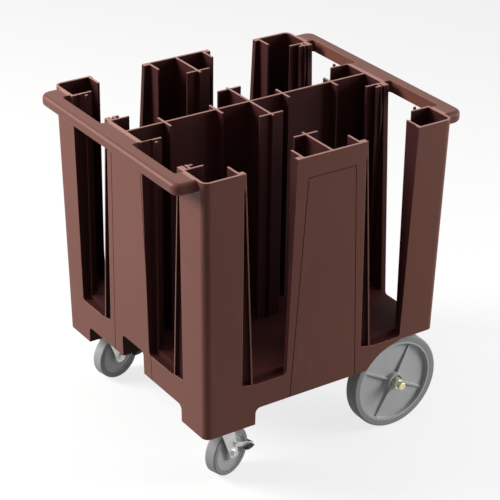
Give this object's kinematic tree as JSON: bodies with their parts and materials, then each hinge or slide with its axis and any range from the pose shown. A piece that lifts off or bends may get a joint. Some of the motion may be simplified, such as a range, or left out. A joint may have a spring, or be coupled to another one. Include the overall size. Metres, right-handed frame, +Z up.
{
  "type": "plate dispenser cart",
  "caption": "Moulded plastic cart with open slotted columns for stacked plates, end rails, fixed big wheels and braked swivel casters.",
  "frame": {"origin": "on the ground under the middle of the cart body", "axes": "+Z up; +X from the caster end towards the big wheel end; +Y from the near face to the far face"},
  "size_m": [0.81, 0.692, 0.834],
  "materials": {
    "body_plastic": "satin",
    "tyre_grey": "matte",
    "wheel_core_grey": "satin",
    "zinc": "satin",
    "yellow_zinc": "satin",
    "steel": "satin",
    "brass": "satin",
    "nylon": "satin",
    "pedal_rubber": "matte"
  },
  "bodies": {
    "cart": {"axle_bracket_bolts": "zinc", "axle_bracket_inserts": "brass", "axle_caps": "yellow_zinc", "axle_spacers": "zinc", "axle_washers": "steel", "cart_body": "body_plastic", "far_axle_bracket": "zinc", "far_caster_bolt_nuts": "zinc", "far_caster_bolts": "zinc", "far_caster_plate": "zinc", "far_kingpin": "zinc", "far_kingpin_nut": "zinc", "far_swivel_balls": "steel", "near_axle_bracket": "zinc", "near_caster_bolt_nuts": "zinc", "near_caster_bolts": "zinc", "near_caster_plate": "zinc", "near_kingpin": "zinc", "near_kingpin_nut": "zinc", "near_swivel_balls": "steel", "rear_axle": "steel"},
    "near_swivel": {"near_axle_sleeve": "steel", "near_brake_rivet": "zinc", "near_caster_axle_bolt": "zinc", "near_caster_axle_nut": "zinc", "near_fork": "zinc", "near_thread_guards": "nylon"},
    "near_caster_wheel": {"near_caster_tread": "tyre_grey", "near_caster_wheel_core": "wheel_core_grey"},
    "near_brake": {"near_brake_lever": "zinc", "near_brake_pedal": "pedal_rubber"},
    "near_rear_wheel": {"near_rear_tyre": "tyre_grey", "near_rear_wheel_bushes": "nylon", "near_rear_wheel_core": "wheel_core_grey"},
    "far_swivel": {"far_axle_sleeve": "steel", "far_brake_rivet": "zinc", "far_caster_axle_bolt": "zinc", "far_caster_axle_nut": "zinc", "far_fork": "zinc", "far_thread_guards": "nylon"},
    "far_caster_wheel": {"far_caster_tread": "tyre_grey", "far_caster_wheel_core": "wheel_core_grey"},
    "far_brake": {"far_brake_lever": "zinc", "far_brake_pedal": "pedal_rubber"},
    "far_rear_wheel": {"far_rear_tyre": "tyre_grey", "far_rear_wheel_bushes": "nylon", "far_rear_wheel_core": "wheel_core_grey"}
  },
  "joints": [
    {"name": "near_swivel_turn", "type": "hinge", "parent": "cart", "child": "near_swivel", "pos_m": [-0.266, -0.274, 0.169], "axis": [0, 0, 1], "continuous": true},
    {"name": "near_caster_spin", "type": "hinge", "parent": "near_swivel", "child": "near_caster_wheel", "pos_m": [-0.23253, -0.26377, 0.0635], "axis": [-0.2924, 0.9563, 0], "continuous": true},
    {"name": "near_brake_press", "type": "hinge", "parent": "near_swivel", "child": "near_brake", "pos_m": [-0.22679, -0.26201, 0.0855], "axis": [-0.2924, 0.9563, 0], "range_deg": [0, 9]},
    {"name": "near_rear_wheel_spin", "type": "hinge", "parent": "cart", "child": "near_rear_wheel", "pos_m": [0.2425, -0.2945, 0.127], "axis": [0, 1, 0], "continuous": true},
    {"name": "far_swivel_turn", "type": "hinge", "parent": "cart", "child": "far_swivel", "pos_m": [-0.266, 0.274, 0.169], "axis": [0, 0, 1], "continuous": true},
    {"name": "far_caster_spin", "type": "hinge", "parent": "far_swivel", "child": "far_caster_wheel", "pos_m": [-0.23164, 0.28068, 0.0635], "axis": [-0.1908, 0.9816, 0], "continuous": true},
    {"name": "far_brake_press", "type": "hinge", "parent": "far_swivel", "child": "far_brake", "pos_m": [-0.22575, 0.28182, 0.0855], "axis": [-0.1908, 0.9816, 0], "range_deg": [0, 9]},
    {"name": "far_rear_wheel_spin", "type": "hinge", "parent": "cart", "child": "far_rear_wheel", "pos_m": [0.2425, 0.2945, 0.127], "axis": [0, 1, 0], "continuous": true}
  ]
}
